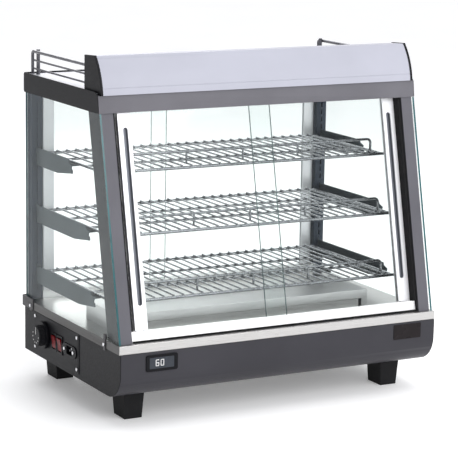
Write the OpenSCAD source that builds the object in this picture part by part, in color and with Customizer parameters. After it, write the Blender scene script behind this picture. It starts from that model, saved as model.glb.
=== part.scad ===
// Counter-top heated display case with sliding glass doors front and rear.
// Lengths are millimetres. Inside this file X runs left to right about the
// case's centre line, Y runs back from the front face of the trim band and
// Z runs up from the counter. placed() then moves every piece so that the
// origin is the middle of the overall footprint, on the counter.

/* [Case] */
// Width over the stainless trim band
case_w = 678; // [640:1:720]
// Depth of the base, from the trim's front face to the rear panel
base_d = 437; // [430:1:450]
// Height of the feet
foot_h = 53.5; // [40:0.5:70]
// Height of the heated base above the feet, up to the deck
base_h = 103.5; // [95:0.5:115]
// Height of the trim band
trim_h = 16; // [10:1:22]
// Clear height from the deck to the underside of the fascia
window_h = 408; // [395:1:420]
// Height of the side fascia
fascia_h = 38; // [34:1:44]
// Height of the canopy above the fascia
canopy_h = 65; // [55:1:75]

/* [Slanted front] */
// Depth at which the front posts meet the deck
slope_y0 = 9; // [6:1:14]
// How far back the front leans over the window height
slope_run = 88; // [80:1:95]
// Distance from one front post's outer face to the other's
post_span = 664.8; // [650:0.2:668]
// Width of a front post
post_w = 24; // [20:1:28]

/* [Doors] */
// Width of one front door
front_door_w = 318.5; // [314:0.5:322]
// How far the left front door stands open at rest
front_ajar = 5.5; // [0:0.5:8]
// Width of the aluminium stile on a front door
front_stile_w = 25.5; // [22:0.5:28]
// Middle of the overlap of the two rear doors
rear_meet_x = -53; // [-80:1:40]
// Width by which the rear doors overlap
rear_overlap = 29; // [20:1:40]
// Width of the aluminium stile on a rear door
rear_stile_w = 22.5; // [20:0.5:26]
// Thickness of every glass pane
glass_t = 4; // [4:0.5:5]

/* [Shelves] */
// Heights of the three wire shelves' frame rods
shelf_z = [213.2, 334.3, 447.5];
// Depths of the three shelves' front rods
shelf_y = [96.4, 113.8, 147.3];
// Half width of a shelf
shelf_half = 304.4; // [296:0.2:306]
// Spacing of the shelf wires
wire_pitch = 20.2; // [15:0.1:30]
// Height of the guard rail above the shelf's frame
guard_h = 27; // [18:1:36]

/* [Controls] */
// Diameter of the thermostat knob
knob_d = 53; // [42:1:56]
// How far the knob stands out of the control plate
knob_out = 19; // [17:1:30]

/* [Hidden] */
$fn = 64;
sheet_t = 1.2;
half_w = case_w / 2;
deck_z = foot_h + base_h;
trim_z = deck_z - trim_h;
fascia_z = deck_z + window_h;
fascia_top = fascia_z + fascia_h;
front_top = fascia_top - 6;
canopy_top = fascia_top + canopy_h;
slope_a = atan(slope_run / window_h);
side_x = half_w - 1.4;
fascia_x = half_w - 0.8;
glass_x = half_w - 2.2;
post_x = post_span / 2;
post_in = post_x - post_w;
front_y = slope_y0 + slope_run - 2;
fascia_back = base_d + 2;
base_curve_r = 53;
base_bulge = 2;
clip_out = half_w + 1.5;
clip_back = base_d + 6;
plate_x = side_x + sheet_t;
knob_face = plate_x + knob_out;
screw_head = 1.8;
bezel_out = 2.4;
move_x = (knob_face - clip_out - screw_head) / 2;
move_y = (base_bulge + bezel_out - clip_back) / 2;

// heights and depths along the slanted front, w inward and u up the slope
track_top_u = 21.5;
track_top_v = 424.5;
rail_half = post_in - 2.4;
near_w = 8;
far_w = 19.5;
stile_t = 10;
track_back_w = 31.5;

// rear door planes
rear_near_y = base_d - 22.5;
rear_far_y = base_d - 13;
rear_stile_t = 8;
rear_track_y = rear_near_y - 2;
rear_track_h = 15;
rear_top_z = fascia_z - 2;
rear_half = post_x - 23;

// controls on the left side of the base, heights above the counter
knob_y = 337;
knob_z = 103;
switch_z = 100.5;
switch_ys = [289, 262];
inlet_y = 217;
inlet_z = 100;
plate_y = [177, 388];
plate_z = [63, 140];

// Moves a piece from the case's own axes to the origin of the whole part.
module placed() {
    translate([move_x, move_y, 0]) children();
}

// Box given by two opposite corners.
module span(lo, hi) {
    translate(lo) cube(hi - lo);
}

// Outline drawn in Y and Z, made solid between two X positions.
module across(x0, x1) {
    translate([x0, 0, 0]) rotate([90, 0, 90]) linear_extrude(x1 - x0) children();
}

// Round rods along each axis, from one end to the other.
module rod_x(x0, x1, y, z, d) {
    translate([x0, y, z]) rotate([0, 90, 0]) cylinder(d = d, h = x1 - x0, $fn = 32);
}
module rod_y(y0, y1, x, z, d) {
    translate([x, y0, z]) rotate([-90, 0, 0]) cylinder(d = d, h = y1 - y0, $fn = 32);
}
module rod_z(z0, z1, x, y, d) {
    translate([x, y, z0]) cylinder(d = d, h = z1 - z0, $fn = 32);
}

// Quarter bend of a rod in its own XY plane, from +X round to +Y.
module bend(r, d, a = 90) {
    rotate_extrude(angle = a, $fn = 48) translate([r, 0]) circle(d = d, $fn = 32);
}

// Places children in the slanted front's axes: Y inward, Z up the slope.
module slanted() {
    translate([0, slope_y0, deck_z]) rotate([-slope_a, 0, 0]) children();
}

// Point of the slanted front as [y, z], w inward and u up the slope.
function on_slope(w, u) = [
    slope_y0 + w * cos(slope_a) + u * sin(slope_a),
    deck_z - w * sin(slope_a) + u * cos(slope_a)
];

// Points of an arc about [cy, cz].
function arc(cy, cz, r, a0, a1, n = 16) = [
    for (i = [0 : n]) let (a = a0 + (a1 - a0) * i / n) [cy + r * cos(a), cz + r * sin(a)]
];

// ---------------------------------------------------------------- base ----

// Side outline of the base inside the given margin.
module base_outline(m = 0) {
    polygon(concat(
        arc(base_curve_r - base_bulge, foot_h + base_curve_r, base_curve_r - m, 180, 270),
        [[base_d - m, foot_h + m], [base_d - m, trim_z], [m - base_bulge, trim_z]]
    ));
}

module base_front_panel() {
    color("#403f44") placed() across(-side_x + sheet_t, side_x - sheet_t)
    intersection() {
        difference() {
            base_outline();
            base_outline(sheet_t);
        }
        translate([-10, 0]) square([85, trim_z]);
    }
}

module base_side_sheet(x0) {
    across(x0, x0 + sheet_t) base_outline();
}

module base_left_panel() {
    color("#303035") placed() difference() {
        base_side_sheet(-side_x);
        span([-half_w, plate_y[0] + 14, plate_z[0] + 14], [-half_w + 9, plate_y[1] - 14, plate_z[1] - 14]);
        for (y = [plate_y[0] + 7, plate_y[1] - 7], z = [plate_z[0] + 8, plate_z[1] - 8])
            rod_x(-half_w, -half_w + 9, y, z, 3.6);
    }
}

module base_right_panel() {
    color("#303035") placed() base_side_sheet(side_x - sheet_t);
}

module base_rear_panel() {
    color("#303035") placed() difference() {
        span([-side_x + sheet_t, base_d - sheet_t, foot_h], [side_x - sheet_t, base_d, trim_z]);
        for (side = [-1, 1], i = [0 : 9])
            translate([side * 190 + (i - 4.5) * 12 - 2, base_d - 5, foot_h + 24]) cube([4, 9, 40]);
    }
}

module base_bottom_plate() {
    color("#303035") placed() difference() {
        span([-side_x + sheet_t, 75.2, foot_h], [side_x - sheet_t, base_d - sheet_t, foot_h + sheet_t]);
        foot_places() cylinder(d = 5.4, h = 40, center = true, $fn = 32);
    }
}

// Centres of the four feet, at the underside of the base.
module foot_places() {
    for (x = [-279, 279], y = [88, 397]) translate([x, y, foot_h]) children();
}

module feet() {
    color("#161617") placed() foot_places() difference() {
        hull() {
            translate([-21, -26, -1]) cube([42, 52, 1]);
            translate([-17.5, -23, -foot_h]) cube([35, 46, 1]);
        }
        translate([0, 0, -16]) cylinder(d = 5.2, h = 30, $fn = 32);
    }
}

module foot_screws() {
    color("#8d8f93") placed() foot_places() {
        translate([0, 0, -14]) cylinder(d = 5, h = 14 + sheet_t, $fn = 32);
        translate([0, 0, sheet_t]) cylinder(d = 9.5, h = 3.4, $fn = 32);
    }
}

module deck_pan() {
    color("#c9cacc") placed() difference() {
        span([-half_w, 0, trim_z], [half_w, base_d, deck_z]);
        span([-half_w + sheet_t, sheet_t, trim_z - 5],
             [half_w - sheet_t, base_d - sheet_t, deck_z - sheet_t]);
        for (x = [-half_w - 5, half_w - 5], y = [front_clip_y, rear_clip_y])
            rod_x(x, x + 10, y, clip_screw_z, 3.6);
    }
}

// --------------------------------------------------- heat and humidity ----

cover_x = [-302, 236];
cover_y = [84, 224];
cover_h = 36;
cover_flange = 17;
cover_leg = 13;

module heater_cover() {
    color("#a9abae") placed() difference() {
        span([cover_x[0], cover_y[0], deck_z], [cover_x[1], cover_y[1], deck_z + cover_h]);
        span([cover_x[0] + 1, cover_y[0] + 1, deck_z - 5],
             [cover_x[1] - 1, cover_y[1] - 1, deck_z + cover_h - 1]);
        span([cover_x[0] + cover_leg, cover_y[0] - 5, deck_z - 5],
             [cover_x[1] - cover_leg, cover_y[1] + 5, deck_z + cover_h - cover_flange]);
    }
}

tray_x = [cover_x[0] + 17, cover_x[1] - 17];
tray_y = [cover_y[0] + 4, cover_y[1] - 10];
tray_z = deck_z + 0.3;
tray_h = 17;

module water_tray() {
    color("#d3d4d6") placed() {
        difference() {
            span([tray_x[0], tray_y[0], tray_z], [tray_x[1], tray_y[1], tray_z + tray_h]);
            span([tray_x[0] + 1, tray_y[0] + 1, tray_z + 1],
                 [tray_x[1] - 1, tray_y[1] - 1, tray_z + tray_h + 5]);
        }
        // pull lip along the rear edge
        span([tray_x[0] + 180, tray_y[1], tray_z + tray_h - 2],
             [tray_x[1] - 180, tray_y[1] + 14, tray_z + tray_h]);
    }
}

element_z = deck_z - 7;
element_x = [-262, 178];
element_y = [118, 158, 198];
element_d = 8;

module heating_element() {
    color("#4b443d") placed() {
        bend_r = (element_y[1] - element_y[0]) / 2;
        rod_x(element_x[0], element_x[1], element_y[0], element_z, element_d);
        rod_x(element_x[0], element_x[1], element_y[1], element_z, element_d);
        rod_x(element_x[0], element_x[1] + bend_r, element_y[2], element_z, element_d);
        for (a = [0, -90]) translate([element_x[1], element_y[0] + bend_r, element_z])
            rotate(a) bend(bend_r, element_d);
        for (a = [90, 180]) translate([element_x[0], element_y[1] + bend_r, element_z])
            rotate(a) bend(bend_r, element_d);
        // cold end, with its threaded terminal
        rod_x(element_x[0] - 24, element_x[0], element_y[0], element_z, element_d);
        rod_x(element_x[0] - 32, element_x[0] - 24, element_y[0], element_z, 4);
        rod_x(element_x[1] + bend_r, element_x[1] + bend_r + 8, element_y[2], element_z, 4);
    }
}

module element_clamps() {
    color("#9a9ca0") placed() for (x = [-180, -40, 100]) difference() {
        span([x - 8, element_y[0] - 12, element_z - 7], [x + 8, element_y[2] + 12, deck_z - sheet_t]);
        for (y = element_y) rod_x(x - 12, x + 12, y, element_z, element_d + 0.4);
    }
}

module terminal_block() {
    color("#e4e0d2") placed() difference() {
        span([-282, 230, foot_h + sheet_t], [-222, 252, foot_h + sheet_t + 20]);
        for (i = [0 : 5]) rod_z(foot_h + 8, foot_h + 40, -277 + i * 10, 241, 5);
        for (i = [0 : 4]) span([-273 + i * 10, 225, foot_h + 12], [-271 + i * 10, 260, foot_h + 40]);
    }
}

// ------------------------------------------------------------ controls ----

module control_plate() {
    color("#2c2c31") placed() difference() {
        span([-plate_x, plate_y[0], plate_z[0]], [-side_x, plate_y[1], plate_z[1]]);
        rod_x(-half_w - 5, -half_w + 9, knob_y, knob_z, 10);
        for (y = switch_ys)
            span([-half_w - 5, y - 11, switch_z - 16], [-half_w + 9, y + 11, switch_z + 16]);
        span([-half_w - 5, inlet_y - 14, inlet_z - 10], [-half_w + 9, inlet_y + 14, inlet_z + 10]);
        for (s = [-20, 20]) rod_x(-half_w - 5, -half_w + 9, inlet_y + s, inlet_z, 3.6);
        for (y = [plate_y[0] + 7, plate_y[1] - 7], z = [plate_z[0] + 8, plate_z[1] - 8])
            rod_x(-half_w - 5, -half_w + 9, y, z, 3.6);
    }
}

// Pan-head screw driven inward along +X from the given face.
module screw_in(face, y, z, len) {
    rod_x(-face - screw_head, -face, y, z, 6.4);
    rod_x(-face, -face + len, y, z, 3.2);
}

module panel_screws() {
    color("#d7d8da") placed() {
        for (y = [plate_y[0] + 7, plate_y[1] - 7], z = [plate_z[0] + 8, plate_z[1] - 8])
            screw_in(plate_x, y, z, 9);
        for (s = [-20, 20]) screw_in(plate_x + 2, inlet_y + s, inlet_z, 12);
        for (side = [0, 1]) mirror([side, 0, 0]) {
            screw_in(clip_out, front_clip_y, clip_screw_z, 9);
            screw_in(clip_out, rear_clip_y, clip_screw_z, 9);
        }
    }
}

module thermostat_body() {
    color("#b9bbbd") placed() {
        rod_x(-side_x, -side_x + 8, knob_y, knob_z, 22);
        span([-side_x + 8, knob_y - 21, knob_z - 24], [-side_x + 34, knob_y + 21, knob_z + 24]);
        rod_x(-plate_x - 12, -side_x, knob_y, knob_z, 6);
        for (i = [-1 : 1]) span([-side_x + 34, knob_y - 1 + 10 * i, knob_z - 3],
                                [-side_x + 43, knob_y + 1 + 10 * i, knob_z + 3]);
    }
}

mark_depth = 0.3;

// Skirted knob with a fluted grip; its shaft bore opens on the plate side.
module thermostat_knob() {
    color("#17171a") placed() translate([-plate_x, knob_y, knob_z]) rotate([0, -90, 0]) difference() {
        union() {
            translate([0, 0, 0.6]) cylinder(d = knob_d, h = 6.4, $fn = 72);
            translate([0, 0, 7]) cylinder(d = knob_d - 12, h = knob_out - 8.4, $fn = 72);
            translate([0, 0, knob_out - 1.4]) cylinder(d = knob_d - 15, h = 1.4, $fn = 72);
        }
        translate([0, 0, -1]) cylinder(d = 6.1, h = 13.4, $fn = 32);
        for (i = [0 : 17]) rotate(i * 20 + 10) translate([knob_d / 2 - 5, 0, 9])
            cylinder(d = 3.4, h = knob_out, $fn = 16);
        // shallow recesses for the pointer line and the scale dots
        span([3, -0.9, knob_out - mark_depth], [17, 0.9, knob_out + 1]);
        for (i = [0 : 6]) rotate(67 + 33 * i) translate([13.5, 0, knob_out - mark_depth])
            cylinder(d = 2.6, h = 1, $fn = 24);
    }
}

rocker_w = 15.6;
rocker_h = 26;
pivot_x = -plate_x + 3;
pivot_d = 3;
pivot_reach = 9.7;

// Switch body in its cut-out, with a bezel and a well for the rocker.
module switch_housing(y) {
    color("#1b1b1d") placed() difference() {
        union() {
            span([-plate_x - 2, y - 12.6, switch_z - 18], [-plate_x, y + 12.6, switch_z + 18]);
            span([-plate_x, y - 10.7, switch_z - 15.7], [-plate_x + 24, y + 10.7, switch_z + 15.7]);
        }
        span([-plate_x - 5, y - rocker_w / 2 - 0.7, switch_z - rocker_h / 2 - 0.7],
             [-plate_x + 12, y + rocker_w / 2 + 0.7, switch_z + rocker_h / 2 + 0.7]);
        rod_y(y - 12, y + 12, pivot_x, switch_z, pivot_d + 0.1);
    }
}

// Rocker with two slanted faces; it turns on a pin held in the switch body.
module switch_rocker(y) {
    color("#c0141c") placed() {
        translate([-plate_x, y + rocker_w / 2, switch_z]) rotate([90, 0, 0])
        linear_extrude(rocker_w) polygon([
            [-4.6, rocker_h / 2 - 1.2], [-2.2, 0], [-1.4, 1.2 - rocker_h / 2],
            [6, 1.6 - rocker_h / 2], [8.5, 0], [6, rocker_h / 2 - 1.6]
        ]);
        rod_y(y - pivot_reach, y + pivot_reach, pivot_x, switch_z, pivot_d);
    }
}

module heat_switch_housing() { switch_housing(switch_ys[0]); }
module heat_switch_rocker() { switch_rocker(switch_ys[0]); }
module light_switch_housing() { switch_housing(switch_ys[1]); }
module light_switch_rocker() { switch_rocker(switch_ys[1]); }

inlet_depth = 17;
pin_ys = [-7, 0, 7];
pin_zs = [-2, 2, -2];

module power_inlet() {
    color("#151517") placed() translate([-plate_x, inlet_y, inlet_z]) difference() {
        union() {
            rotate([0, -90, 0]) linear_extrude(2) union() {
                square([23, 40], center = true);
                for (s = [-20, 20]) translate([0, s]) circle(d = 23);
            }
            span([-2, -13.8, -9.8], [24, 13.8, 9.8]);
        }
        span([-5, -12, -8.2], [inlet_depth - 2, 12, 8.2]);
        for (s = [-20, 20]) rod_x(-5, 5, s, 0, 3.6);
        for (i = [0 : 2])
            span([10, pin_ys[i] - 1.05, pin_zs[i] - 2.05], [30, pin_ys[i] + 1.05, pin_zs[i] + 2.05]);
    }
}

module inlet_pins() {
    color("#d9d9dc") placed() translate([-plate_x, inlet_y, inlet_z]) for (i = [0 : 2])
        span([3, pin_ys[i] - 1, pin_zs[i] - 2], [32, pin_ys[i] + 1, pin_zs[i] + 2]);
}

// Centre of the display and of the blank badge on the base's front.
display_c = [-255, 120.5];
badge_c = [275, 123.5];
front_face = -base_bulge;

// Rounded plate lying against the base's front face.
module front_plate(c, w, h, r, y0, y1) {
    translate([c[0], y1, c[1]]) rotate([90, 0, 0]) linear_extrude(y1 - y0) union() {
        square([w - 2 * r, h], center = true);
        square([w, h - 2 * r], center = true);
        for (x = [-1, 1], z = [-1, 1]) translate([x * (w / 2 - r), z * (h / 2 - r)]) circle(r = r, $fn = 32);
    }
}

module display_bezel() {
    color("#1d1d20") placed() difference() {
        front_plate(display_c, 64, 31, 4, front_face - bezel_out, front_face);
        front_plate(display_c, 50, 21, 2, front_face - 5, front_face + 3);
    }
}

module display_window() {
    color("#33373d") placed() front_plate(display_c, 49.6, 20.6, 1.8, front_face - 1.8, front_face);
}

module display_module() {
    color("#3a6b45") placed() {
        span([display_c[0] - 33, front_face + sheet_t + 14, display_c[1] - 14],
             [display_c[0] + 33, front_face + sheet_t + 15.6, display_c[1] + 14]);
        span([display_c[0] - 27, front_face + sheet_t, display_c[1] - 11],
             [display_c[0] + 27, front_face + sheet_t + 14, display_c[1] + 11]);
    }
}

module badge_plate() {
    color("#1a1517") placed() front_plate(badge_c, 62, 29, 1.5, front_face - 1, front_face);
}

// --------------------------------------------------------------- frame ----

post_d = 30;
flange_d = 60;

// Front post: a slanted box section with a return flange behind it.
module front_post() {
    lean = slope_run;
    difference() {
        across(post_in, post_x) polygon([
            [slope_y0, deck_z], [slope_y0 + post_d, deck_z],
            [slope_y0 + post_d + lean, fascia_z], [slope_y0 + lean, fascia_z]
        ]);
        across(post_in + 1.5, post_x - 1.5) polygon([
            [slope_y0 + 1.5 - lean * 0.1, deck_z - 0.1 * window_h],
            [slope_y0 + post_d - 1.5 - lean * 0.1, deck_z - 0.1 * window_h],
            [slope_y0 + post_d - 1.5 + lean * 1.1, fascia_z + 0.1 * window_h],
            [slope_y0 + 1.5 + lean * 1.1, fascia_z + 0.1 * window_h]
        ]);
    }
    across(post_x - 4, post_x - 2.5) polygon([
        [slope_y0 + post_d, deck_z], [slope_y0 + flange_d, deck_z],
        [slope_y0 + flange_d + lean, fascia_z], [slope_y0 + post_d + lean, fascia_z]
    ]);
}

module front_posts() {
    color("#7c7a84") placed() for (side = [0, 1]) mirror([side, 0, 0]) front_post();
}

post_slot_z0 = deck_z + 18;
post_slot_pitch = 15;
post_slot_h = 10;
post_slots = floor((window_h - 40) / post_slot_pitch);
bracket_x = post_x - 12;
bracket_t = 2;
rear_post_y = rear_near_y - 0.5;

// Slotted rear post; the shelf brackets hook into its front face.
module rear_post() {
    difference() {
        span([rear_half, rear_post_y, deck_z], [post_x, base_d - 4, fascia_z]);
        span([rear_half + 1.5, rear_post_y + 1.5, deck_z - 5], [post_x - 1.5, base_d - 5.5, fascia_z + 5]);
        for (i = [0 : post_slots])
            translate([bracket_x - 0.6, rear_post_y - 5, post_slot_z0 + i * post_slot_pitch])
            cube([bracket_t + 1.2, 10, post_slot_h]);
    }
}

module rear_posts() {
    color("#66707f") placed() for (side = [0, 1]) mirror([side, 0, 0]) rear_post();
}

bracket_tip_y = [142, 166, 244];
bracket_up = 11;
bracket_down = 24;
bracket_back = rear_post_y - 0.3;

// Cantilever bracket for shelf i: an upright plate, an inward ledge that
// carries the shelf, and two hooks standing in the post's slots.
module shelf_bracket(i) {
    top = shelf_z[i] + bracket_up;
    low = shelf_z[i] - bracket_down;
    tip = bracket_tip_y[i];
    across(bracket_x, bracket_x + bracket_t) polygon([
        [bracket_back, low], [tip + 70, low], [tip, low + 9], [tip + 1, low + 16],
        [tip + 6, low + 17], [tip + 4, top - 10], [tip + 16, top - 6], [tip + 19, top], [bracket_back, top]
    ]);
    span([297, tip + 24, shelf_z[i] - 5.4], [bracket_x + 1, bracket_back - 1, shelf_z[i] - 3.4]);
    first = ceil((low + 1 - post_slot_z0) / post_slot_pitch);
    for (k = [first, first + 1]) translate([bracket_x, bracket_back - 1, post_slot_z0 + k * post_slot_pitch])
        cube([bracket_t, 7, post_slot_h - 2]);
}

module shelf_brackets() {
    color("#66707f") placed() for (side = [0, 1]) mirror([side, 0, 0]) for (i = [0 : 2]) shelf_bracket(i);
}

// Rubber bumper strip on each front post, with a lip behind the doors.
module front_gaskets() {
    color("#0f0f11") placed() for (side = [0, 1]) mirror([side, 0, 0]) slanted() {
        span([post_in - 5, 4, track_top_u + 0.5], [post_in, 34, track_top_v - 0.5]);
        span([post_in - 18, 32, track_top_u + 12], [post_in - 4, 34, track_top_v - 12]);
    }
}

// Channels that guide the glass of the near and the far door.
module channel(w, u0, u1) {
    span([-half_w, w, u0], [half_w, w + 6, u1]);
}

module front_lower_track() {
    color("#ecebea") placed() intersection() {
        slanted() difference() {
            span([-rail_half, near_w, -20], [rail_half, track_back_w, track_top_u]);
            channel(near_w + 2, 12.5, 60);
            channel(far_w + 2, 12.5, 60);
        }
        span([-half_w, -20, deck_z], [half_w, 120, deck_z + 60]);
    }
}

module front_upper_track() {
    color("#ecebea") placed() slanted() difference() {
        span([-rail_half, near_w, track_top_v], [rail_half, track_back_w, 440]);
        channel(near_w + 2, 400, 436.5);
        channel(far_w + 2, 400, 436.5);
    }
}

// Rear channels, for the near and the far rear door.
module rear_channels(z0, z1) {
    for (y = [rear_near_y, rear_far_y]) span([-half_w, y + 1, z0], [half_w, y + 7, z1]);
}

module rear_lower_track() {
    color("#d8d8da") placed() difference() {
        span([-rear_half, rear_track_y, deck_z], [rear_half, base_d - 2.5, deck_z + rear_track_h]);
        rear_channels(deck_z + 5, deck_z + 60);
    }
}

module rear_upper_track() {
    color("#d8d8da") placed() difference() {
        span([-rear_half, rear_track_y, rear_top_z], [rear_half, base_d - 2.5, rear_top_z + 18]);
        rear_channels(rear_top_z - 60, rear_top_z + 14);
    }
}

// ----------------------------------------------------------------- top ----

module fascia_front() {
    color("#757078") placed() across(-fascia_x + sheet_t, fascia_x - sheet_t) polygon([
        [front_y, fascia_z], [front_y + 4, front_top], [front_y + 16, front_top],
        [front_y + 16, front_top - sheet_t], [front_y + 4 + sheet_t, front_top - sheet_t],
        [front_y + 1.4, fascia_z + sheet_t], [front_y + 7, fascia_z + sheet_t], [front_y + 7, fascia_z]
    ]);
}

// Side fascia with rounded rear corners and a shouldered front corner.
module fascia_side(x0) {
    r = 4.5;
    across(x0, x0 + sheet_t) polygon(concat(
        [[front_y, fascia_z]],
        arc(fascia_back - r, fascia_z + r, r, -90, 0, 6),
        arc(fascia_back - r, fascia_top - r, r, 0, 90, 6),
        [for (i = [0 : 8]) let (a = 90 + i * 10)
            [front_y + 22 + 18 * cos(a), fascia_top - 10 + 10 * sin(a)]],
        [[front_y + 4, front_top - 2]]
    ));
}

module fascia_left() {
    color("#3b3a3f") placed() fascia_side(-fascia_x);
}

module fascia_right() {
    color("#3b3a3f") placed() fascia_side(fascia_x - sheet_t);
}

module fascia_rear() {
    color("#3b3a3f") placed()
        span([-fascia_x + sheet_t, fascia_back - sheet_t, fascia_z],
             [fascia_x - sheet_t, fascia_back, fascia_top]);
}

top_z = fascia_top - 3;

module top_panel() {
    color("#e3e3e8") placed() span([-fascia_x + sheet_t, front_y + 17, top_z - sheet_t],
        [fascia_x - sheet_t, fascia_back - sheet_t, top_z]);
}

lamp_y = 160;
lamp_z = fascia_z + 17;

module ceiling_panel() {
    color("#c4c5c8") placed() difference() {
        span([-post_in, 134, fascia_z + 4], [post_in, rear_track_y - 1, fascia_z + 4 + sheet_t]);
        span([-250, lamp_y - 11, fascia_z], [250, lamp_y + 11, fascia_z + 20]);
    }
}

canopy_arc_y = 221;
canopy_arc_z = fascia_top - 20;
canopy_r = 127;
canopy_back = 168;
canopy_lip = fascia_top + 6.5;

// Outline of the canopy inside the given margin.
module canopy_outline(m) {
    r = canopy_r - m;
    a0 = 180 + asin((canopy_arc_z - front_top) / r);
    a1 = 180 - asin((canopy_top - 1 - m - canopy_arc_z) / r);
    polygon(concat(
        arc(canopy_arc_y, canopy_arc_z, r, a0, a1, 20),
        [[canopy_back - m, canopy_top - 3.5 - m], [canopy_back - m, front_top]]
    ));
}

canopy_cap_x = post_x + 0.6;
canopy_cap_t = 4.5;

module canopy_panel() {
    inner = canopy_cap_x - canopy_cap_t;
    color("#c6c7d2") placed() difference() {
        across(-inner, inner) canopy_outline(1);
        across(-inner - 1, inner + 1) canopy_outline(1 + sheet_t);
        // shadow groove above the lower lip
        across(-inner - 1, inner + 1) difference() {
            translate([80, canopy_lip - 0.5]) square([30, 1]);
            canopy_outline(1.5);
        }
        span([-inner - 1, 90, front_top - 1], [inner + 1, canopy_back + 5, front_top + 0.05]);
        span([-inner - 1, front_y + 16.5, 0], [inner + 1, canopy_back + 5, top_z]);
    }
}

module canopy_caps() {
    color("#2a292e") placed() for (side = [0, 1]) mirror([side, 0, 0])
        intersection() {
            across(canopy_cap_x - canopy_cap_t, canopy_cap_x) canopy_outline(0);
            union() {
                span([0, front_y - 20, front_top], [half_w, front_y + 16.5, canopy_top + 20]);
                span([0, front_y + 16.5, top_z], [half_w, canopy_back + 20, canopy_top + 20]);
            }
        }
}

module lamp_tube() {
    color("#fbf6e6") placed() rod_x(-232, 232, lamp_y, lamp_z, 16);
}

module lamp_holders() {
    color("#e9e9e6") placed() for (side = [0, 1]) mirror([side, 0, 0]) difference() {
        span([226, lamp_y - 10, fascia_z + 5.4], [244, lamp_y + 10, top_z - sheet_t]);
        rod_x(220, 233, lamp_y, lamp_z, 16.2);
    }
}

gallery_x = 321.4;
gallery_z = [top_z + 11, top_z + 27, top_z + 43.6];
gallery_back = 434;
gallery_collar_d = 7;
gallery_front = canopy_back + 6;
gallery_leg_x = gallery_x - 4.8;
gallery_leg_y = 418;
gallery_r = 6;

// Plate rail standing on the top: a thick top rod over two thin ones. The
// top rod bends down at both ends; a second leg stands inside the rods.
module gallery() {
    rod_y(gallery_front + gallery_r, gallery_back - gallery_r, gallery_x, gallery_z[2], 6);
    for (k = [0, 1]) rod_y(gallery_front, gallery_leg_y + 6, gallery_x, gallery_z[k], 4);
    translate([gallery_x, gallery_back - gallery_r, gallery_z[2] - gallery_r])
        rotate([0, 0, 90]) rotate([90, 0, 0]) bend(gallery_r, 6);
    translate([gallery_x, gallery_front + gallery_r, gallery_z[2] - gallery_r])
        rotate([0, 0, -90]) rotate([90, 0, 0]) bend(gallery_r, 6);
    for (y = [gallery_back, gallery_front]) {
        rod_z(top_z, gallery_z[2] - gallery_r, gallery_x, y, 6);
        rod_z(top_z, top_z + 2, gallery_x, y, gallery_collar_d);
    }
    rod_z(top_z, gallery_z[2] + 5, gallery_leg_x, gallery_leg_y, 7);
    rod_z(top_z, top_z + 2, gallery_leg_x, gallery_leg_y, 8.4);
}

module galleries() {
    color("#8a8b90") placed() for (side = [0, 1]) mirror([side, 0, 0]) gallery();
}

// --------------------------------------------------------------- glass ----

// Side pane: slanted front edge, upright rear edge, head behind the fascia.
module side_pane(x0) {
    color("#9fc7c4") placed() across(x0, x0 + glass_t) polygon([
        [slope_y0 - 3, deck_z + 0.2], [base_d - 4.5, deck_z + 0.2], [base_d - 4.5, fascia_z + 9],
        [front_y + 7.5, fascia_z + 9], [front_y + 7.5, fascia_z - 0.3], [front_y - 0.5, fascia_z - 0.3]
    ]);
}

module side_glass_left() { side_pane(-glass_x); }
module side_glass_right() { side_pane(glass_x - glass_t); }

front_clip_y = 62;
rear_clip_y = 402;
clip_screw_z = deck_z - 9;

// Clips that hold the side panes to the trim band, two on each side.
module glass_clips() {
    color("#5c5b5d") placed() for (side = [0, 1]) mirror([side, 0, 0]) difference() {
        union() {
            span([-clip_out, front_clip_y - 4, trim_z - 4], [-half_w, front_clip_y + 4, deck_z + 10]);
            span([-half_w, front_clip_y - 4, deck_z + 0.3], [-glass_x, front_clip_y + 4, deck_z + 10]);
            span([-clip_out, 391, trim_z], [-half_w, clip_back, deck_z + 5]);
            span([-clip_out, rear_clip_y - 5, trim_z - 3], [-half_w, rear_clip_y + 5, deck_z]);
            span([-half_w, 391, deck_z + 0.3], [-glass_x, base_d - 4.5, deck_z + 5]);
            span([-half_w, clip_back - 1.5, trim_z], [-half_w + 40, clip_back, deck_z + 5]);
        }
        for (y = [front_clip_y, rear_clip_y]) rod_x(-half_w - 5, -half_w + 3, y, clip_screw_z, 3.6);
    }
}

// --------------------------------------------------------------- doors ----

front_stile_u = [track_top_u + 1, track_top_v - 1.5];
front_pane_u = [13.5, 433];
finger_slot_w = 9.5;
finger_slot_u = [67, 391];
finger_slot_depth = 7;

// Rounded finger slot cut from the outer face, standing on Z.
module finger_slot(x, z0, z1, y_face, depth) {
    r = finger_slot_w / 2;
    span([x - r, y_face - 1, z0 + r], [x + r, y_face + depth, z1 - r]);
    for (z = [z0 + r, z1 - r]) translate([x, y_face - 1, z]) rotate([-90, 0, 0])
        cylinder(r = r, h = depth + 1, $fn = 48);
}

// Front door: x0 is its outer edge, dir the way towards the middle, w its track.
module front_pane(x0, dir, w) {
    color("#a8cfcb") placed() slanted() {
        inner = x0 + dir * front_door_w;
        edge = x0 + dir * (front_stile_w - 6);
        span([min(edge, inner), w + 3, front_pane_u[0]], [max(edge, inner), w + 7, front_pane_u[1]]);
    }
}

module front_stile(x0, dir, w) {
    color("#e8e8ea") placed() slanted() difference() {
        far = x0 + dir * front_stile_w;
        root = x0 + dir * (front_stile_w - 6);
        span([min(x0, far), w, front_stile_u[0]], [max(x0, far), w + stile_t, front_stile_u[1]]);
        span([min(root, far + dir * 5), w + 3, 0], [max(root, far + dir * 5), w + 7, 500]);
        finger_slot(x0 + dir * 14, finger_slot_u[0], finger_slot_u[1], w, finger_slot_depth);
    }
}

front_left_x0 = -(post_in - 6) + front_ajar;
front_right_x0 = post_in - 6;

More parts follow.
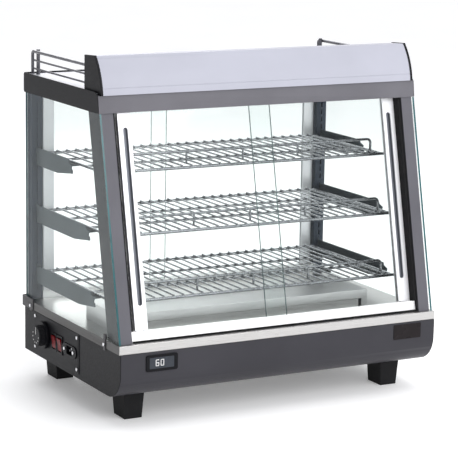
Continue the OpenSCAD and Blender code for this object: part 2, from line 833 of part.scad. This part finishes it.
module front_door_left_pane() { front_pane(front_left_x0, 1, near_w); }
module front_door_left_stile() { front_stile(front_left_x0, 1, near_w); }
module front_door_right_pane() { front_pane(front_right_x0, -1, far_w); }
module front_door_right_stile() { front_stile(front_right_x0, -1, far_w); }

rear_stile_z = [deck_z + rear_track_h + 1, rear_top_z - 1];
rear_pane_z = [deck_z + 6, rear_top_z + 11];
rear_gap = 2;

module rear_pane(x0, x1, dir, y) {
    color("#a8cfcb") placed() {
        edge = x0 + dir * (rear_stile_w - 6);
        span([min(edge, x1), y + 2, rear_pane_z[0]], [max(edge, x1), y + 6, rear_pane_z[1]]);
    }
}

module rear_stile(x0, dir, y) {
    color("#dfe1e3") placed() difference() {
        far = x0 + dir * rear_stile_w;
        root = x0 + dir * (rear_stile_w - 6);
        span([min(x0, far), y, rear_stile_z[0]], [max(x0, far), y + rear_stile_t, rear_stile_z[1]]);
        span([min(root, far + dir * 5), y + 2, 0], [max(root, far + dir * 5), y + 6, 900]);
        mirror([0, 1, 0]) finger_slot(x0 + dir * 9, deck_z + 90, fascia_z - 90, -(y + rear_stile_t), 5.5);
    }
}

rear_left_x1 = rear_meet_x + rear_overlap / 2;
rear_right_x1 = rear_meet_x - rear_overlap / 2;

module rear_door_left_pane() { rear_pane(-rear_half + rear_gap, rear_left_x1, 1, rear_near_y); }
module rear_door_left_stile() { rear_stile(-rear_half + rear_gap, 1, rear_near_y); }
module rear_door_right_pane() { rear_pane(rear_half - rear_gap, rear_right_x1, -1, rear_far_y); }
module rear_door_right_stile() { rear_stile(rear_half - rear_gap, -1, rear_far_y); }

// ------------------------------------------------------------- shelves ----

shelf_back = rear_track_y - 8;
frame_d = 6;
side_rod_d = 5.4;
wire_d = 3.6;
guard_back = 22;
guard_inset = 17;
guard_r = 8;
guard_d = 5;

// Wire shelf i: a rod frame, wires running front to back, a guard rail.
module wire_shelf(i) {
    z = shelf_z[i];
    y0 = shelf_y[i];
    edge = shelf_half - frame_d / 2;
    wire_z = z + frame_d / 2 + wire_d / 2 - 0.8;
    wires = floor((edge - 5) / wire_pitch);
    gy = y0 + guard_back;
    gx = shelf_half - guard_inset;
    gz = z + guard_h;
    color("#9b9ea3") placed() {
        for (y = [y0, shelf_back]) rod_x(-shelf_half, shelf_half, y, z, frame_d);
        for (y = [(y0 * 2 + shelf_back) / 3, (y0 + shelf_back * 2) / 3]) rod_x(-edge, edge, y, z, 5);
        for (x = [-edge, edge]) rod_y(y0, shelf_back, x, z, side_rod_d);
        for (k = [-wires : wires]) rod_y(y0 - 1, shelf_back + 1, k * wire_pitch, wire_z, wire_d);
        // guard rail on its stays
        rod_x(-gx + guard_r, gx - guard_r, gy, gz, guard_d);
        for (side = [0, 1]) mirror([side, 0, 0]) {
            translate([gx - guard_r, gy, gz - guard_r]) rotate([90, 0, 0]) bend(guard_r, guard_d);
            rod_z(z, gz - guard_r, gx, gy, guard_d);
            rod_x(gx - 8, edge, gy, z, guard_d + 0.2);
        }
        for (k = [-6, 0, 6]) rod_z(wire_z, gz, k * wire_pitch, gy, 4);
    }
}

module bottom_shelf() { wire_shelf(0); }
module middle_shelf() { wire_shelf(1); }
module top_shelf() { wire_shelf(2); }

base_front_panel();
base_left_panel();
base_right_panel();
base_rear_panel();
base_bottom_plate();
feet();
foot_screws();
deck_pan();
heater_cover();
water_tray();
heating_element();
element_clamps();
terminal_block();
control_plate();
panel_screws();
thermostat_body();
thermostat_knob();
heat_switch_housing();
heat_switch_rocker();
light_switch_housing();
light_switch_rocker();
power_inlet();
inlet_pins();
display_bezel();
display_window();
display_module();
badge_plate();
front_posts();
rear_posts();
shelf_brackets();
front_gaskets();
front_lower_track();
front_upper_track();
rear_lower_track();
rear_upper_track();
fascia_front();
fascia_left();
fascia_right();
fascia_rear();
top_panel();
ceiling_panel();
canopy_panel();
canopy_caps();
lamp_tube();
lamp_holders();
galleries();
side_glass_left();
side_glass_right();
glass_clips();
front_door_left_pane();
front_door_left_stile();
front_door_right_pane();
front_door_right_stile();
rear_door_left_pane();
rear_door_left_stile();
rear_door_right_pane();
rear_door_right_stile();
bottom_shelf();
middle_shelf();
top_shelf();
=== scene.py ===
import math

import bmesh
import bpy
from mathutils import Matrix, Vector


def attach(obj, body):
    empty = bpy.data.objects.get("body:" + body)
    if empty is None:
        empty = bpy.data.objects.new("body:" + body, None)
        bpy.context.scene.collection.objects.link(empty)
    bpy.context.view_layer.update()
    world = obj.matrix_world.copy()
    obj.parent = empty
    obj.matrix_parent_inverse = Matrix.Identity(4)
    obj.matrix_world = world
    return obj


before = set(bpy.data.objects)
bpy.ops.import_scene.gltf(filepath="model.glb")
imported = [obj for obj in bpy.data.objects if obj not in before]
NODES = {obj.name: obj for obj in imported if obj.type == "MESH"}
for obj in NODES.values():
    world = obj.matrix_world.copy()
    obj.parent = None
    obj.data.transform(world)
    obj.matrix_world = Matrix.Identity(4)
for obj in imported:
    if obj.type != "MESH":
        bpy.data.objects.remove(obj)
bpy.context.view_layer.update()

# The case's own axes, in millimetres: X about its centre line, Y back from the trim band's
# front face, Z up from the floor. MOVE takes them to the row frame.
MOVE = (7.75, -219.3)

# the slanted front: how far it leans back, and a point on it
LEAN = math.radians(12.17)
FRONT_Y = 9
FRONT_Z = 157

# the doors: how deep behind the slanted front, or how far back, each outer face lies,
# the middle of each finger slot along X, and the slots' depths and half width in metres
FRONT_NEAR, FRONT_FAR = 8, 19.5
REAR_NEAR, REAR_FAR = 422.5, 432
FRONT_SLOT_LEFT, FRONT_SLOT_RIGHT = -282.9, 288.4
REAR_SLOT = 298.4
FRONT_SLOT_DEPTH = 0.007
REAR_SLOT_DEPTH = 0.0055
SLOT_HALF_WIDTH = 0.0050

# the thermostat knob: its axis, where the white filling of its pointer starts and ends along X,
# and its ring of dots, in degrees from straight up
KNOB_Y, KNOB_Z = 337, 103
FILL_TOP, FILL_BOTTOM = -357.72, -357.45
DOTS = 7
DOT_FIRST, DOT_STEP = 67, 33
DOT_RING = 13.5


def at(x, y, z):
    """A point of the case's own axes as a point of the row frame, in metres."""
    return Vector(((x + MOVE[0]) / 1000, (y + MOVE[1]) / 1000, z / 1000))


# ------------------------------------------------------------------ camera --

def make_camera():
    """The photo's camera: its place, its turn and its lens, solved from the case's straight edges."""
    yaw, pitch, roll = math.radians(28.6052), math.radians(-11.0365), math.radians(0.961)
    level = math.cos(pitch)
    ahead = Vector((math.sin(yaw) * level, math.cos(yaw) * level, math.sin(pitch)))
    side = Vector((math.cos(yaw), -math.sin(yaw), 0))
    up = side.cross(ahead)
    right = side * math.cos(roll) + up * math.sin(roll)
    top = up * math.cos(roll) - side * math.sin(roll)
    data = bpy.data.cameras.new("camera")
    data.sensor_width = 36
    data.lens = 160.12
    data.clip_end = 40
    camera = bpy.data.objects.new("camera", data)
    turn = Matrix((right, top, -ahead)).transposed()
    camera.matrix_world = Matrix.Translation(at(-1863.33, -3197.48, 1065.66)) @ turn.to_4x4()
    bpy.context.scene.collection.objects.link(camera)
    bpy.context.scene.camera = camera


# --------------------------------------------------------------- materials --

ACROSS = (1, 0, 0)
STILE_WHITE = (0.90, 0.90, 0.92)


class Shader:
    """A material's node tree, built a node at a time."""

    def __init__(self, name):
        self.mat = bpy.data.materials.new(name)
        self.mat.use_nodes = True
        self.tree = self.mat.node_tree
        self.bsdf = self.tree.nodes["Principled BSDF"]
        self.out = self.tree.nodes["Material Output"]
        self.coord = self.tree.nodes.new("ShaderNodeTexCoord")

    def link(self, a, b):
        self.tree.links.new(a, b)

    def noise(self, scale, stretch=(1, 1, 1), detail=3.0, rough=0.5):
        place = self.tree.nodes.new("ShaderNodeMapping")
        place.inputs["Scale"].default_value = stretch
        self.link(self.coord.outputs["Object"], place.inputs["Vector"])
        n = self.tree.nodes.new("ShaderNodeTexNoise")
        n.inputs["Scale"].default_value = scale
        n.inputs["Detail"].default_value = detail
        n.inputs["Roughness"].default_value = rough
        self.link(place.outputs["Vector"], n.inputs["Vector"])
        return n.outputs["Fac"]

    def span(self, value, lo, hi, a=0.3, b=0.7):
        m = self.tree.nodes.new("ShaderNodeMapRange")
        m.inputs["From Min"].default_value = a
        m.inputs["From Max"].default_value = b
        m.inputs["To Min"].default_value = lo
        m.inputs["To Max"].default_value = hi
        self.link(value, m.inputs["Value"])
        return m.outputs["Result"]

    def colours(self, value, a, b):
        r = self.tree.nodes.new("ShaderNodeValToRGB")
        r.color_ramp.elements[0].position = 0.3
        r.color_ramp.elements[1].position = 0.7
        r.color_ramp.elements[0].color = (*a, 1)
        r.color_ramp.elements[1].color = (*b, 1)
        self.link(value, r.inputs["Fac"])
        return r.outputs["Color"]

    def calc(self, operation, first, second=None):
        """Arithmetic on one or two values; the second may be a plain number."""
        m = self.tree.nodes.new("ShaderNodeMath")
        m.operation = operation
        self.link(first, m.inputs[0])
        if isinstance(second, (int, float)):
            m.inputs[1].default_value = second
        elif second is not None:
            self.link(second, m.inputs[1])
        return m.outputs["Value"]

    def along(self, output, way):
        """How far the surface's place ("Object") or normal ("Normal") goes along a direction."""
        d = self.tree.nodes.new("ShaderNodeVectorMath")
        d.operation = "DOT_PRODUCT"
        d.inputs[1].default_value = way
        self.link(self.coord.outputs[output], d.inputs[0])
        return d.outputs["Value"]

    def blend(self, share, under, over):
        """One shader over another; share is how much of the second shows."""
        m = self.tree.nodes.new("ShaderNodeMixShader")
        self.link(share, m.inputs["Fac"])
        self.link(under, m.inputs[1])
        self.link(over, m.inputs[2])
        return m.outputs["Shader"]

    def bump(self, value, depth):
        b = self.tree.nodes.new("ShaderNodeBump")
        b.inputs["Strength"].default_value = 1.0
        b.inputs["Distance"].default_value = depth
        self.link(value, b.inputs["Height"])
        self.link(b.outputs["Normal"], self.bsdf.inputs["Normal"])

    def set(self, **values):
        for name, value in values.items():
            self.bsdf.inputs[name.replace("_", " ")].default_value = value

    def paint_side_shade(self, tone, k):
        """Painted shade: the faces across X show darker than the others, by the factor k."""
        side = self.calc("ABSOLUTE", self.along("Normal", ACROSS))
        dim = self.tree.nodes.new("ShaderNodeVectorMath")
        dim.operation = "SCALE"
        self.link(tone, dim.inputs[0])
        self.link(self.span(side, 1.0, k), dim.inputs["Scale"])
        return dim.outputs["Vector"]


def shade(c, k):
    """A colour made k times as bright."""
    return tuple(min(1.0, x * k) for x in c)


def painted(name, colour, rough=0.42, vary=0.10, side_shade=1.0):
    """Powder coat: fine orange peel over a slow drift of tone; a factor below 1 paints shade on the faces
    across X.
    """
    s = Shader(name)
    s.set(Metallic=0.0, Specular_IOR_Level=0.12)
    drift = s.noise(7, detail=4)
    tone = s.colours(drift, shade(colour, 1 - vary), shade(colour, 1 + vary))
    # painted shade: the faces across X made darker by the given factor
    if side_shade < 1.0:
        tone = s.paint_side_shade(tone, side_shade)
    s.link(tone, s.bsdf.inputs["Base Color"])
    s.link(s.span(s.noise(420, detail=2), rough - 0.05, rough + 0.07), s.bsdf.inputs["Roughness"])
    s.bump(s.noise(900, detail=2), 0.00003)
    return s.mat


def brushed(name, colour, rough=0.3, vary=0.08, side_shade=1.0):
    """Metal with fine lines along X; a factor below 1 paints shade on the faces across X."""
    s = Shader(name)
    s.set(Metallic=1.0)
    lines = s.noise(28, (1, 60, 60), detail=6, rough=0.7)
    tone = s.colours(lines, shade(colour, 1 - vary), shade(colour, 1 + vary))
    # painted shade: the faces across X made darker by the given factor
    if side_shade < 1.0:
        tone = s.paint_side_shade(tone, side_shade)
    s.link(tone, s.bsdf.inputs["Base Color"])
    s.link(s.span(lines, rough - 0.07, rough + 0.1), s.bsdf.inputs["Roughness"])
    s.bump(lines, 0.00003)
    return s.mat


def plated(name, colour, rough=0.22):
    """Bright drawn wire with faint length-wise marks and dull patches."""
    s = Shader(name)
    s.set(Metallic=1.0)
    patch = s.noise(60, detail=4)
    s.link(s.colours(patch, shade(colour, 0.86), shade(colour, 1.08)), s.bsdf.inputs["Base Color"])
    s.link(s.span(s.noise(210, detail=3), rough - 0.06, rough + 0.12), s.bsdf.inputs["Roughness"])
    s.bump(s.noise(700), 0.00002)
    return s.mat


def plastic(name, colour, rough=0.4, grain=1300, depth=0.00005, vary=0.12):
    """Moulded plastic or rubber with a fine texture."""
    s = Shader(name)
    s.set(Metallic=0.0, Specular_IOR_Level=0.12)
    patch = s.noise(45, detail=3)
    tone = s.colours(patch, shade(colour, 1 - vary), shade(colour, 1 + vary))
    s.link(tone, s.bsdf.inputs["Base Color"])
    s.link(s.span(s.noise(grain / 2, detail=2), rough - 0.06, rough + 0.08), s.bsdf.inputs["Roughness"])
    s.bump(s.noise(grain, detail=2), depth)
    return s.mat


def pane(name, facing=None, cut_edge=None, edge=(0.014, 0.085, 0.095)):
    """Clear glass with green edges: every face not along facing, or only the one along cut_edge."""
    s = Shader(name)
    smear = s.noise(9, (1, 1, 0.5), detail=5)
    s.set(Metallic=1.0)
    s.link(s.colours(smear, (0.80, 0.85, 0.85), (0.92, 0.95, 0.95)), s.bsdf.inputs["Base Color"])
    s.link(s.span(smear, 0.02, 0.07), s.bsdf.inputs["Roughness"])
    clear = s.tree.nodes.new("ShaderNodeBsdfTransparent")
    clear.inputs["Color"].default_value = (0.975, 0.99, 0.985, 1)
    slant = s.tree.nodes.new("ShaderNodeLayerWeight")
    slant.inputs["Blend"].default_value = 0.5
    gloss = s.span(s.calc("POWER", slant.outputs["Facing"], 4.0), 0.012, 0.22, 0.0, 1.0)
    face = s.blend(gloss, clear.outputs["BSDF"], s.bsdf.outputs["BSDF"])
    rim = s.tree.nodes.new("ShaderNodeBsdfPrincipled")
    rim.inputs["Roughness"].default_value = 0.15
    s.link(s.colours(s.noise(80), shade(edge, 0.8), shade(edge, 1.25)), rim.inputs["Base Color"])
    if cut_edge is None:
        flat = s.calc("GREATER_THAN", s.calc("ABSOLUTE", s.along("Normal", facing)), 0.5)
    else:
        flat = s.calc("LESS_THAN", s.along("Normal", cut_edge), 0.5)
    s.link(s.blend(flat, rim.outputs["BSDF"], face), s.out.inputs["Surface"])
    return s.mat


def slotted(name, inward, face, middle, floor):
    """Anodised stile, with painted shade in its finger slot.

    The slot goes in from the outer face, which lies at face along inward, to the depth floor.
    Its middle is at middle along X.
    """
    s = Shader(name)
    s.set(Metallic=0.55)
    lines = s.noise(28, (60, 60, 1), detail=6, rough=0.7)
    depth = s.along("Object", inward)
    aside = s.calc("ABSOLUTE", s.calc("SUBTRACT", s.along("Object", ACROSS), at(middle, 0, 0).x))
    # where the slot's faces are, for the painted shade
    slot_shade = s.span(aside, 1.0, 0.0, SLOT_HALF_WIDTH, SLOT_HALF_WIDTH + 0.0002)
    slot_shade = s.calc("MULTIPLY", slot_shade, s.span(depth, 0.0, 1.0, face + 0.0005, face + 0.0042))
    slot_shade = s.calc("MULTIPLY", slot_shade, s.span(depth, 1.0, 0.0, face + floor + 0.0002, face + floor + 0.0004))
    mix = s.tree.nodes.new("ShaderNodeMix")
    mix.data_type = "RGBA"
    # the colour of the painted shade in the slot
    mix.inputs[7].default_value = (0.17, 0.18, 0.205, 1)
    s.link(slot_shade, mix.inputs[0])
    s.link(s.colours(lines, shade(STILE_WHITE, 0.97), shade(STILE_WHITE, 1.03)), mix.inputs[6])
    s.link(mix.outputs[2], s.bsdf.inputs["Base Color"])
    s.link(s.span(lines, 0.34, 0.5), s.bsdf.inputs["Roughness"])
    s.bump(lines, 0.00002)
    return s.mat


def make_materials():
    inward = (0, math.cos(LEAN), -math.sin(LEAN))
    rearward = (0, -1, 0)

    def plane(w):
        """Where a plane w inward from the slanted front lies along the inward axis."""
        return at(0, FRONT_Y + w * inward[1], FRONT_Z + w * inward[2]).dot(Vector(inward))

    def front_stile(name, w, middle):
        return slotted(name, inward, plane(w), middle, FRONT_SLOT_DEPTH)

    def rear_stile(name, y, middle):
        return slotted(name, rearward, -at(0, y, 0).y, middle, REAR_SLOT_DEPTH)

    return {
        # a much darker copy of the base's and fascia's paint for their sides, rear and underside: painted
        # shade; the black canopy caps share it
        "painted_dark": painted("coat_dark_and_shaded", (0.008, 0.008, 0.010)),
        "base_front": painted("coat_base_front", (0.044, 0.043, 0.050), rough=0.36),
        "fascia_grey": painted("coat_fascia", (0.145, 0.142, 0.158), rough=0.38),
        # the posts' faces across X carry painted shade
        "post_grey": painted("coat_post", (0.122, 0.120, 0.136), rough=0.4, side_shade=0.35),
        "silver_panel": painted("coat_silver", (0.42, 0.425, 0.485), rough=0.33, vary=0.04),
        "top_white": painted("coat_top", (0.62, 0.62, 0.66), rough=0.4, vary=0.03),
        "stainless": brushed("steel_brushed", (0.62, 0.62, 0.62)),
        # the trim's faces across X carry painted shade
        "trim": brushed("steel_trim", (0.52, 0.51, 0.50), rough=0.3, vary=0.14, side_shade=0.14),
        "cover_steel": brushed("steel_cover", (0.60, 0.60, 0.60), rough=0.34),
        "post_steel": painted("coat_rear_post", (0.040, 0.050, 0.070), rough=0.4),
        "bracket_steel": painted("coat_bracket", (0.085, 0.100, 0.110), rough=0.4),
        "track": brushed("aluminium_track", (0.93, 0.93, 0.93), rough=0.4, vary=0.03),
        "rubber_black": plastic("rubber", (0.012, 0.012, 0.013), rough=0.62, grain=900),
        "black_plastic": plastic("plastic_black", (0.006, 0.006, 0.008)),
        "red_plastic": plastic("plastic_red", (0.16, 0.003, 0.006), rough=0.34, depth=0.00001),
        "bright_wire": plated("wire_zinc", (0.27, 0.275, 0.29)),
        "gallery_wire": plated("wire_gallery", (0.15, 0.15, 0.165), rough=0.3),
        "zinc_screw": plated("screw_zinc", (0.74, 0.74, 0.76), rough=0.25),
        "element_sheath": plastic("sheath", (0.09, 0.075, 0.065), rough=0.55, vary=0.3),
        "cream_plastic": plastic("plastic_cream", (0.72, 0.68, 0.56), rough=0.5),
        "lamp_white": plastic("lamp_opal", (0.93, 0.90, 0.82), rough=0.2, depth=0.000005, vary=0.02),
        "display_dark": plastic("window_tinted", (0.045, 0.05, 0.06), rough=0.12, depth=0.000004),
        "badge_face": plastic("badge_plain", (0.014, 0.011, 0.012), rough=0.28, grain=60, depth=0.000002),
        "circuit_green": plastic("board_green", (0.03, 0.16, 0.07), rough=0.4, vary=0.25),
        "clip": painted("coat_clip", (0.09, 0.088, 0.092), rough=0.4),
        "mark_white": plastic("mark_white", (0.85, 0.85, 0.85), rough=0.4, depth=0.00001, vary=0.03),
        "stile_front_left": front_stile("stile_front_left", FRONT_NEAR, FRONT_SLOT_LEFT),
        "stile_front_right": front_stile("stile_front_right", FRONT_FAR, FRONT_SLOT_RIGHT),
        "stile_rear_left": rear_stile("stile_rear_left", REAR_NEAR, -REAR_SLOT),
        "stile_rear_right": rear_stile("stile_rear_right", REAR_FAR, REAR_SLOT),
        "glass_side": pane("glass_side", cut_edge=(0, -1, 0)),
        "glass_front": pane("glass_front", facing=inward, edge=(0.16, 0.22, 0.22)),
        "glass_rear": pane("glass_rear", facing=rearward, edge=(0.22, 0.26, 0.27)),
    }


FINISH = {
    # the darker copy of the paint for faces away from the light is painted shade; the canopy caps are
    # black
    "painted_dark": "base_left_panel base_right_panel base_rear_panel base_bottom_plate control_plate "
                    "fascia_left fascia_right fascia_rear canopy_caps",
    "base_front": "base_front_panel",
    "fascia_grey": "fascia_front",
    "post_grey": "front_posts",
    "silver_panel": "canopy_panel",
    "top_white": "top_panel",
    "stainless": "water_tray element_clamps ceiling_panel thermostat_body",
    "trim": "deck_pan",
    "cover_steel": "heater_cover",
    "post_steel": "rear_posts",
    "bracket_steel": "shelf_brackets",
    "track": "front_lower_track front_upper_track rear_lower_track rear_upper_track",
    "stile_front_left": "front_door_left_stile",
    "stile_front_right": "front_door_right_stile",
    "stile_rear_left": "rear_door_left_stile",
    "stile_rear_right": "rear_door_right_stile",
    "rubber_black": "feet front_gaskets",
    "black_plastic": "thermostat_knob heat_switch_housing light_switch_housing power_inlet display_bezel",
    "red_plastic": "heat_switch_rocker light_switch_rocker",
    "bright_wire": "bottom_shelf middle_shelf top_shelf",
    "gallery_wire": "galleries",
    "zinc_screw": "foot_screws panel_screws inlet_pins",
    "element_sheath": "heating_element",
    "cream_plastic": "terminal_block lamp_holders",
    "lamp_white": "lamp_tube",
    "display_dark": "display_window",
    "badge_face": "badge_plate",
    "circuit_green": "display_module",
    "clip": "glass_clips",
    "glass_side": "side_glass_left side_glass_right",
    "glass_front": "front_door_left_pane front_door_right_pane",
    "glass_rear": "rear_door_left_pane rear_door_right_pane",
}


# in metres
WELD_GAP = 0.00001
WORN_EDGE = 0.0004

# round wire and tube keep their edges as they are
ROUND = {"bottom_shelf", "middle_shelf", "top_shelf", "galleries", "heating_element", "lamp_tube"}


def finish_nodes(mats):
    """Gives every CAD node its material, and a small worn edge where sheet or plastic has one."""
    for finish, names in FINISH.items():
        for name in names.split():
            o = NODES[name]
            o.data.materials.clear()
            o.data.materials.append(mats[finish])
            if name in ROUND or finish.startswith("glass"):
                continue
            weld = o.modifiers.new("weld", "WELD")
            weld.merge_threshold = WELD_GAP
            edge = o.modifiers.new("edge", "BEVEL")
            edge.width = WORN_EDGE
            edge.segments = 2
            edge.limit_method = "ANGLE"
            edge.angle_limit = math.radians(40)
            edge.use_clamp_overlap = True
    missing = set(NODES) - {n for names in FINISH.values() for n in names.split()}
    assert not missing, missing


# ------------------------------------------------------------- small pieces --

def piece(name, bm, mat, body):
    """Makes an object of a finished mesh, riding one of the bodies."""
    data = bpy.data.meshes.new(name)
    bmesh.ops.recalc_face_normals(bm, faces=bm.faces)
    bm.to_mesh(data)
    bm.free()
    data.materials.append(mat)
    o = bpy.data.objects.new(name, data)
    bpy.context.scene.collection.objects.link(o)
    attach(o, body)


def add_slab(bm, lo, hi):
    """A closed block between two corners of the case's own axes."""
    a, b = at(*lo), at(*hi)
    made = bmesh.ops.create_cube(bm, size=1)
    centre, size = (a + b) / 2, b - a
    for v in made["verts"]:
        v.co = Vector(c + s * p for c, s, p in zip(centre, size, v.co))


def add_disc(bm, centre, radius, depth):
    """A short round plug with its axis along X."""
    r = radius / 1000
    place = Matrix.Translation(at(*centre)) @ Matrix.Rotation(math.radians(90), 4, "Y")
    bmesh.ops.create_cone(bm, cap_ends=True, segments=24, radius1=r, radius2=r,
                          depth=depth / 1000, matrix=place)


# the bars that light up for each figure, named as on a seven-segment display
SEGMENTS = {0: "abcdef", 6: "acdefg"}


def add_digit(bm, value, x, z, w, h, t, y0, y1):
    """A figure w wide and h high, of bars t thick, from its lower left corner."""
    mid = z + h / 2
    bars = {
        "a": (x, x + w, z + h - t, z + h),
        "b": (x + w - t, x + w, mid, z + h),
        "c": (x + w - t, x + w, z, mid),
        "d": (x, x + w, z, z + t),
        "e": (x, x + t, z, mid),
        "f": (x, x + t, mid, z + h),
        "g": (x, x + w, mid - t / 2, mid + t / 2),
    }
    gap = 0.15
    for key in SEGMENTS[value]:
        x0, x1, z0, z1 = bars[key]
        add_slab(bm, (x0 + gap, y0, z0 + gap), (x1 - gap, y1, z1 - gap))


def make_display_figures(mats):
    """Two figures on the temperature display, each bar its own block."""
    bm = bmesh.new()
    for value, x in ((6, -268), (0, -258)):
        add_digit(bm, value, x, z=114.5, w=7.2, h=12.5, t=1.6, y0=-4.0, y1=-3.75)
    piece("display_figures", bm, mats["mark_white"], "case")


def make_rail_shadow_strip(mats):
    """A dark strip between the front door rail and the trim: painted shade standing in for the shadow in
    the gap there.
    """
    bm = bmesh.new()
    add_slab(bm, (-306, 12.4, 157.05), (306, 13.9, 160.4))
    piece("rail_shadow_strip", bm, mats["rubber_black"], "case")


def make_knob_marks(mats):
    """White filling in the recesses of the knob's face: a pointer and a ring of dots."""
    bm = bmesh.new()
    add_slab(bm, (FILL_TOP, KNOB_Y - 0.8, KNOB_Z + 3.1), (FILL_BOTTOM, KNOB_Y + 0.8, KNOB_Z + 16.9))
    for i in range(DOTS):
        a = math.radians(DOT_FIRST + i * DOT_STEP)
        place = (-357.6, KNOB_Y + DOT_RING * math.sin(a), KNOB_Z + DOT_RING * math.cos(a))
        add_disc(bm, place, radius=1.2, depth=0.22)
    piece("knob_marks", bm, mats["mark_white"], "thermostat_dial")


# -------------------------------------------------------------- the studio --

def make_floor():
    """White paper under the case; a slight glow helps it read white."""
    s = Shader("floor_paper")
    s.link(s.colours(s.noise(3), (0.90, 0.90, 0.90), (0.93, 0.93, 0.93)), s.bsdf.inputs["Base Color"])
    s.link(s.span(s.noise(20), 0.7, 0.85), s.bsdf.inputs["Roughness"])
    s.set(Emission_Color=(1, 1, 1, 1), Emission_Strength=0.22)
    data = bpy.data.meshes.new("floor")
    bm = bmesh.new()
    bmesh.ops.create_grid(bm, x_segments=4, y_segments=4, size=14)
    bm.to_mesh(data)
    bm.free()
    data.materials.append(s.mat)
    floor = bpy.data.objects.new("floor", data)
    floor.location = (0, 0, -0.0002)  # a little below the feet, so that no two faces coincide
    bpy.context.scene.collection.objects.link(floor)


def make_world():
    """A room that is bright from the right and dark from the left."""
    world = bpy.data.worlds.new("studio")
    world.use_nodes = True
    tree = world.node_tree
    way = tree.nodes.new("ShaderNodeTexCoord")
    split = tree.nodes.new("ShaderNodeSeparateXYZ")
    ramp = tree.nodes.new("ShaderNodeValToRGB")
    ramp.color_ramp.elements[0].position = 0.0
    ramp.color_ramp.elements[1].position = 0.55
    ramp.color_ramp.elements[0].color = (0.03, 0.031, 0.034, 1)
    ramp.color_ramp.elements[1].color = (0.97, 0.975, 1.0, 1)
    shift = tree.nodes.new("ShaderNodeMapRange")
    shift.inputs["From Min"].default_value = -1.0
    tree.links.new(way.outputs["Generated"], split.inputs["Vector"])
    tree.links.new(split.outputs["X"], shift.inputs["Value"])
    tree.links.new(shift.outputs["Result"], ramp.inputs["Fac"])
    tree.links.new(ramp.outputs["Color"], tree.nodes["Background"].inputs["Color"])
    tree.nodes["Background"].inputs["Strength"].default_value = 1.1
    bpy.context.scene.world = world
    bpy.context.scene.view_settings.view_transform = "Standard"


# name, place in metres, width in metres, power in watts
LAMPS = (
    ("key", (0.5, -3.0, 1.9), 2.2, 46),
    ("fill", (-3.0, -1.6, 1.6), 2.0, 3),
    ("above", (0.3, -0.4, 3.0), 2.4, 22),
    ("behind", (0.6, 2.6, 1.8), 2.0, 22),
)


def make_lamps():
    """Round soft lamps, all turned to the middle of the case."""
    middle = Vector((0, 0, 0.3))
    for name, place, size, power in LAMPS:
        data = bpy.data.lights.new(name, "AREA")
        data.shape = "DISK"
        data.size = size
        data.energy = power
        lamp = bpy.data.objects.new(name, data)
        lamp.location = place
        lamp.rotation_mode = "QUATERNION"
        lamp.rotation_quaternion = (middle - Vector(place)).to_track_quat("-Z", "Y")
        bpy.context.scene.collection.objects.link(lamp)


make_camera()
materials = make_materials()
finish_nodes(materials)
make_display_figures(materials)
# a dark strip as painted shade under the front door rail
make_rail_shadow_strip(materials)
make_knob_marks(materials)
make_floor()
make_world()
make_lamps()
